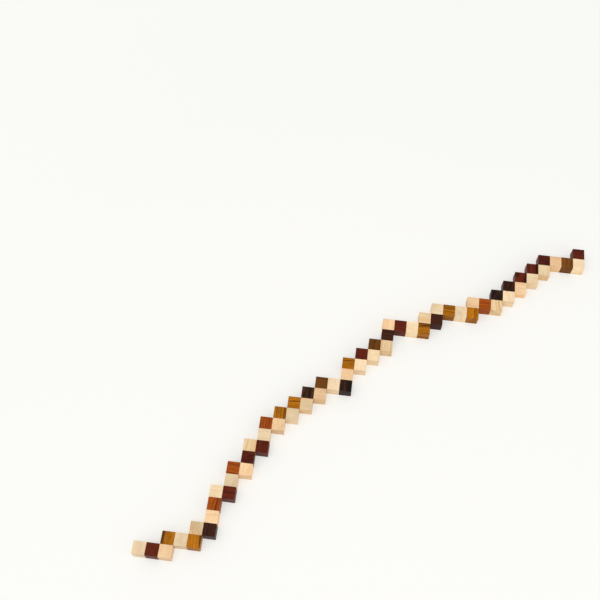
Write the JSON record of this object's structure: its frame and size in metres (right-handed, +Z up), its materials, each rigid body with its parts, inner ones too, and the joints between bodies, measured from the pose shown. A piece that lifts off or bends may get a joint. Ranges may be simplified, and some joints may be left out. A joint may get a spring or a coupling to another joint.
{
  "type": "snake cube puzzle",
  "caption": "Folding snake cube puzzle: pale and dark wooden cubes strung on one elastic cord, laid out as a zigzag chain that folds up into a solid cube.",
  "frame": {"origin": "on the table under the middle of the unfolded chain's bounding box", "axes": "+Z up; +X along the line from the chain's first cube to its last; the cubes lie flat on Z = 0"},
  "size_m": [0.9242, 0.1494, 0.02],
  "materials": {
    "maple": "satin clear lacquer over cream maple",
    "beech": "satin clear lacquer over peach beech",
    "ash": "satin clear lacquer over ash with plain grain lines",
    "teak": "satin clear lacquer over golden-brown teak",
    "padauk": "satin clear lacquer over orange-brown padauk",
    "walnut": "satin clear lacquer over olive-brown walnut",
    "rosewood": "satin clear lacquer over dark red-brown rosewood",
    "wenge": "satin clear lacquer over dark brown wenge",
    "ebony": "satin clear lacquer over near-black ebony",
    "elastic": "off-white braided elastic cord"
  },
  "bodies": {
    "cube_01_03": {"cube_01_03": "maple"},
    "cube_02": {"cube_02": "rosewood"},
    "cube_04": {"cube_04": "teak"},
    "cube_05": {"cube_05": "maple"},
    "cube_06": {"cube_06": "teak"},
    "cube_07": {"cube_07": "ash"},
    "cube_08_10": {"cube_08_10": "wenge"},
    "cube_09": {"cube_09": "beech"},
    "cube_11": {"cube_11": "maple"},
    "cube_12": {"cube_12": "rosewood"},
    "cube_13": {"cube_13": "maple"},
    "cube_14": {"cube_14": "padauk"},
    "cube_15": {"cube_15": "beech"},
    "cube_16": {"cube_16": "rosewood"},
    "cube_17": {"cube_17": "ash"},
    "cube_18": {"cube_18": "rosewood"},
    "cube_19": {"cube_19": "maple"},
    "cube_20": {"cube_20": "padauk"},
    "cube_21": {"cube_21": "beech"},
    "cube_22": {"cube_22": "teak"},
    "cube_23": {"cube_23": "maple"},
    "cube_24": {"cube_24": "teak"},
    "cube_25": {"cube_25": "ash"},
    "cube_26": {"cube_26": "ebony"},
    "cube_27": {"cube_27": "beech"},
    "cube_28": {"cube_28": "walnut"},
    "cube_29": {"cube_29": "maple"},
    "cube_30": {"cube_30": "ebony"},
    "cube_31": {"cube_31": "beech"},
    "cube_32": {"cube_32": "teak", "elastic_cord": "elastic"},
    "cube_33": {"cube_33": "maple"},
    "cube_34": {"cube_34": "rosewood"},
    "cube_35": {"cube_35": "maple"},
    "cube_36": {"cube_36": "walnut"},
    "cube_37": {"cube_37": "ash"},
    "cube_38": {"cube_38": "wenge"},
    "cube_39_41": {"cube_39_41": "beech"},
    "cube_40": {"cube_40": "rosewood"},
    "cube_42": {"cube_42": "teak"},
    "cube_43": {"cube_43": "ash"},
    "cube_44": {"cube_44": "wenge"},
    "cube_45_47": {"cube_45_47": "maple"},
    "cube_46": {"cube_46": "teak"},
    "cube_48": {"cube_48": "teak"},
    "cube_49": {"cube_49": "beech"},
    "cube_50": {"cube_50": "padauk"},
    "cube_51": {"cube_51": "ash"},
    "cube_52": {"cube_52": "ebony"},
    "cube_53": {"cube_53": "maple"},
    "cube_54": {"cube_54": "wenge"},
    "cube_55": {"cube_55": "beech"},
    "cube_56": {"cube_56": "rosewood"},
    "cube_57": {"cube_57": "maple"},
    "cube_58": {"cube_58": "rosewood"},
    "cube_59": {"cube_59": "ash"},
    "cube_60_62": {"cube_60_62": "rosewood"},
    "cube_61": {"cube_61": "beech"},
    "cube_63": {"cube_63": "maple"},
    "cube_64": {"cube_64": "rosewood"}
  },
  "joints": [
    {"name": "hinge_02_03", "type": "hinge", "parent": "cube_01_03", "child": "cube_02", "pos_m": [-0.4259, -0.04191, 0.01], "axis": [-0.7399, 0.6727, 0], "range_deg": [-360, 0]},
    {"name": "hinge_03_04", "type": "hinge", "parent": "cube_04", "child": "cube_01_03", "pos_m": [-0.41171, -0.04124, 0.01], "axis": [-0.6727, -0.7399, 0], "range_deg": [-180, 180]},
    {"name": "hinge_04_05", "type": "hinge", "parent": "cube_05", "child": "cube_04", "pos_m": [-0.39751, -0.04056, 0.01], "axis": [-0.7399, 0.6727, 0], "range_deg": [-360, 0]},
    {"name": "hinge_05_06", "type": "hinge", "parent": "cube_06", "child": "cube_05", "pos_m": [-0.38264, -0.05408, 0.01], "axis": [-0.7399, 0.6727, 0], "range_deg": [-360, 0]},
    {"name": "hinge_06_07", "type": "hinge", "parent": "cube_07", "child": "cube_06", "pos_m": [-0.36844, -0.05341, 0.01], "axis": [-0.6727, -0.7399, 0], "range_deg": [-180, 180]},
    {"name": "hinge_07_08", "type": "hinge", "parent": "cube_08_10", "child": "cube_07", "pos_m": [-0.35424, -0.05273, 0.01], "axis": [-0.7399, 0.6727, 0], "range_deg": [-270, 90]},
    {"name": "hinge_09_10", "type": "hinge", "parent": "cube_08_10", "child": "cube_09", "pos_m": [-0.32653, -0.03718, 0.01], "axis": [-0.6727, -0.7399, 0], "range_deg": [-360, 0]},
    {"name": "hinge_10_11", "type": "hinge", "parent": "cube_11", "child": "cube_08_10", "pos_m": [-0.313, -0.02231, 0.01], "axis": [-0.6727, -0.7399, 0], "range_deg": [-180, 180]},
    {"name": "hinge_11_12", "type": "hinge", "parent": "cube_12", "child": "cube_11", "pos_m": [-0.29881, -0.02163, 0.01], "axis": [-0.7399, 0.6727, 0], "range_deg": [-180, 180]},
    {"name": "hinge_12_13", "type": "hinge", "parent": "cube_13", "child": "cube_12", "pos_m": [-0.28461, -0.02096, 0.01], "axis": [-0.6727, -0.7399, 0], "range_deg": [-90, 270]},
    {"name": "hinge_13_14", "type": "hinge", "parent": "cube_14", "child": "cube_13", "pos_m": [-0.27109, -0.00608, 0.01], "axis": [-0.6727, -0.7399, 0], "range_deg": [-360, 0]},
    {"name": "hinge_14_15", "type": "hinge", "parent": "cube_15", "child": "cube_14", "pos_m": [-0.25689, -0.00541, 0.01], "axis": [-0.7399, 0.6727, 0], "range_deg": [-180, 180]},
    {"name": "hinge_15_16", "type": "hinge", "parent": "cube_16", "child": "cube_15", "pos_m": [-0.2427, -0.00473, 0.01], "axis": [-0.6727, -0.7399, 0], "range_deg": [-270, 90]},
    {"name": "hinge_16_17", "type": "hinge", "parent": "cube_17", "child": "cube_16", "pos_m": [-0.22918, 0.01014, 0.01], "axis": [-0.6727, -0.7399, 0], "range_deg": [-360, 0]},
    {"name": "hinge_17_18", "type": "hinge", "parent": "cube_18", "child": "cube_17", "pos_m": [-0.21498, 0.01082, 0.01], "axis": [-0.7399, 0.6727, 0], "range_deg": [-180, 180]},
    {"name": "hinge_18_19", "type": "hinge", "parent": "cube_19", "child": "cube_18", "pos_m": [-0.20078, 0.01149, 0.01], "axis": [-0.6727, -0.7399, 0], "range_deg": [-270, 90]},
    {"name": "hinge_19_20", "type": "hinge", "parent": "cube_20", "child": "cube_19", "pos_m": [-0.18726, 0.02637, 0.01], "axis": [-0.6727, -0.7399, 0], "range_deg": [-360, 0]},
    {"name": "hinge_20_21", "type": "hinge", "parent": "cube_21", "child": "cube_20", "pos_m": [-0.17307, 0.02704, 0.01], "axis": [-0.7399, 0.6727, 0], "range_deg": [-90, 270]},
    {"name": "hinge_21_22", "type": "hinge", "parent": "cube_22", "child": "cube_21", "pos_m": [-0.15887, 0.02772, 0.01], "axis": [-0.6727, -0.7399, 0], "range_deg": [-270, 90]},
    {"name": "hinge_22_23", "type": "hinge", "parent": "cube_23", "child": "cube_22", "pos_m": [-0.14467, 0.02839, 0.01], "axis": [-0.7399, 0.6727, 0], "range_deg": [-180, 180]},
    {"name": "hinge_23_24", "type": "hinge", "parent": "cube_24", "child": "cube_23", "pos_m": [-0.13048, 0.02907, 0.01], "axis": [-0.6727, -0.7399, 0], "range_deg": [-360, 0]},
    {"name": "hinge_24_25", "type": "hinge", "parent": "cube_25", "child": "cube_24", "pos_m": [-0.11628, 0.02975, 0.01], "axis": [-0.7399, 0.6727, 0], "range_deg": [-360, 0]},
    {"name": "hinge_25_26", "type": "hinge", "parent": "cube_26", "child": "cube_25", "pos_m": [-0.10208, 0.03042, 0.01], "axis": [-0.6727, -0.7399, 0], "range_deg": [-180, 180]},
    {"name": "hinge_26_27", "type": "hinge", "parent": "cube_27", "child": "cube_26", "pos_m": [-0.08788, 0.0311, 0.01], "axis": [-0.7399, 0.6727, 0], "range_deg": [-270, 90]},
    {"name": "hinge_27_28", "type": "hinge", "parent": "cube_28", "child": "cube_27", "pos_m": [-0.07369, 0.03177, 0.01], "axis": [-0.6727, -0.7399, 0], "range_deg": [-90, 270]},
    {"name": "hinge_28_29", "type": "hinge", "parent": "cube_29", "child": "cube_28", "pos_m": [-0.05949, 0.03245, 0.01], "axis": [-0.7399, 0.6727, 0], "range_deg": [-90, 270]},
    {"name": "hinge_29_30", "type": "hinge", "parent": "cube_30", "child": "cube_29", "pos_m": [-0.04462, 0.01893, 0.01], "axis": [-0.7399, 0.6727, 0], "range_deg": [-360, 0]},
    {"name": "hinge_30_31", "type": "hinge", "parent": "cube_31", "child": "cube_30", "pos_m": [-0.03042, 0.01961, 0.01], "axis": [-0.6727, -0.7399, 0], "range_deg": [-180, 180]},
    {"name": "hinge_31_32", "type": "hinge", "parent": "cube_32", "child": "cube_31", "pos_m": [-0.0169, 0.03448, 0.01], "axis": [-0.6727, -0.7399, 0], "range_deg": [-360, 0]},
    {"name": "hinge_32_33", "type": "hinge", "parent": "cube_32", "child": "cube_33", "pos_m": [-0.0027, 0.03515, 0.01], "axis": [0.7399, -0.6727, 0], "range_deg": [-180, 180], "deforming": ["elastic_cord"]},
    {"name": "hinge_33_34", "type": "hinge", "parent": "cube_33", "child": "cube_34", "pos_m": [0.01149, 0.03583, 0.01], "axis": [0.6727, 0.7399, 0], "range_deg": [-360, 0]},
    {"name": "hinge_34_35", "type": "hinge", "parent": "cube_34", "child": "cube_35", "pos_m": [0.02569, 0.03651, 0.01], "axis": [0.7399, -0.6727, 0], "range_deg": [-180, 180]},
    {"name": "hinge_35_36", "type": "hinge", "parent": "cube_35", "child": "cube_36", "pos_m": [0.03989, 0.03718, 0.01], "axis": [0.6727, 0.7399, 0], "range_deg": [-360, 0]},
    {"name": "hinge_36_37", "type": "hinge", "parent": "cube_36", "child": "cube_37", "pos_m": [0.05408, 0.03786, 0.01], "axis": [0.7399, -0.6727, 0], "range_deg": [-270, 90]},
    {"name": "hinge_37_38", "type": "hinge", "parent": "cube_37", "child": "cube_38", "pos_m": [0.06828, 0.03853, 0.01], "axis": [0.6727, 0.7399, 0], "range_deg": [-360, 0]},
    {"name": "hinge_38_39", "type": "hinge", "parent": "cube_38", "child": "cube_39_41", "pos_m": [0.0818, 0.05341, 0.01], "axis": [0.6727, 0.7399, 0], "range_deg": [-90, 270]},
    {"name": "hinge_39_40", "type": "hinge", "parent": "cube_39_41", "child": "cube_40", "pos_m": [0.096, 0.05408, 0.01], "axis": [0.7399, -0.6727, 0], "range_deg": [-360, 0]},
    {"name": "hinge_41_42", "type": "hinge", "parent": "cube_39_41", "child": "cube_42", "pos_m": [0.12574, 0.02704, 0.01], "axis": [0.7399, -0.6727, 0], "range_deg": [-270, 90]},
    {"name": "hinge_42_43", "type": "hinge", "parent": "cube_42", "child": "cube_43", "pos_m": [0.13994, 0.02772, 0.01], "axis": [0.6727, 0.7399, 0], "range_deg": [-270, 90]},
    {"name": "hinge_43_44", "type": "hinge", "parent": "cube_43", "child": "cube_44", "pos_m": [0.15414, 0.02839, 0.01], "axis": [0.7399, -0.6727, 0], "range_deg": [-180, 180]},
    {"name": "hinge_44_45", "type": "hinge", "parent": "cube_44", "child": "cube_45_47", "pos_m": [0.16833, 0.02907, 0.01], "axis": [0.6727, 0.7399, 0], "range_deg": [-90, 270]},
    {"name": "hinge_45_46", "type": "hinge", "parent": "cube_45_47", "child": "cube_46", "pos_m": [0.18253, 0.02975, 0.01], "axis": [0.7399, -0.6727, 0], "range_deg": [-360, 0]},
    {"name": "hinge_47_48", "type": "hinge", "parent": "cube_45_47", "child": "cube_48", "pos_m": [0.21228, 0.0027, 0.01], "axis": [0.7399, -0.6727, 0], "range_deg": [-180, 180]},
    {"name": "hinge_48_49", "type": "hinge", "parent": "cube_48", "child": "cube_49", "pos_m": [0.22647, 0.00338, 0.01], "axis": [0.6727, 0.7399, 0], "range_deg": [-180, 180]},
    {"name": "hinge_49_50", "type": "hinge", "parent": "cube_49", "child": "cube_50", "pos_m": [0.24067, 0.00406, 0.01], "axis": [0.7399, -0.6727, 0], "range_deg": [-360, 0]},
    {"name": "hinge_50_51", "type": "hinge", "parent": "cube_50", "child": "cube_51", "pos_m": [0.25554, -0.00946, 0.01], "axis": [0.7399, -0.6727, 0], "range_deg": [-270, 90]},
    {"name": "hinge_51_52", "type": "hinge", "parent": "cube_51", "child": "cube_52", "pos_m": [0.26974, -0.00879, 0.01], "axis": [0.6727, 0.7399, 0], "range_deg": [-180, 180]},
    {"name": "hinge_52_53", "type": "hinge", "parent": "cube_52", "child": "cube_53", "pos_m": [0.28394, -0.00811, 0.01], "axis": [0.7399, -0.6727, 0], "range_deg": [-360, 0]},
    {"name": "hinge_53_54", "type": "hinge", "parent": "cube_53", "child": "cube_54", "pos_m": [0.29813, -0.00744, 0.01], "axis": [0.6727, 0.7399, 0], "range_deg": [-270, 90]},
    {"name": "hinge_54_55", "type": "hinge", "parent": "cube_54", "child": "cube_55", "pos_m": [0.31233, -0.00676, 0.01], "axis": [0.7399, -0.6727, 0], "range_deg": [-360, 0]},
    {"name": "hinge_55_56", "type": "hinge", "parent": "cube_55", "child": "cube_56", "pos_m": [0.32653, -0.00608, 0.01], "axis": [0.6727, 0.7399, 0], "range_deg": [-270, 90]},
    {"name": "hinge_56_57", "type": "hinge", "parent": "cube_56", "child": "cube_57", "pos_m": [0.34072, -0.00541, 0.01], "axis": [0.7399, -0.6727, 0], "range_deg": [-180, 180]},
    {"name": "hinge_57_58", "type": "hinge", "parent": "cube_57", "child": "cube_58", "pos_m": [0.35492, -0.00473, 0.01], "axis": [0.6727, 0.7399, 0], "range_deg": [-360, 0]},
    {"name": "hinge_58_59", "type": "hinge", "parent": "cube_58", "child": "cube_59", "pos_m": [0.36912, -0.00406, 0.01], "axis": [0.7399, -0.6727, 0], "range_deg": [-180, 180]},
    {"name": "hinge_59_60", "type": "hinge", "parent": "cube_59", "child": "cube_60_62", "pos_m": [0.38331, -0.00338, 0.01], "axis": [0.6727, 0.7399, 0], "range_deg": [-270, 90]},
    {"name": "hinge_60_61", "type": "hinge", "parent": "cube_60_62", "child": "cube_61", "pos_m": [0.39751, -0.0027, 0.01], "axis": [0.7399, -0.6727, 0], "range_deg": [-360, 0]},
    {"name": "hinge_62_63", "type": "hinge", "parent": "cube_60_62", "child": "cube_63", "pos_m": [0.42725, -0.02975, 0.01], "axis": [0.7399, -0.6727, 0], "range_deg": [-180, 180]},
    {"name": "hinge_63_64", "type": "hinge", "parent": "cube_63", "child": "cube_64", "pos_m": [0.44145, -0.02907, 0.01], "axis": [0.6727, 0.7399, 0], "range_deg": [-360, 0]}
  ]
}
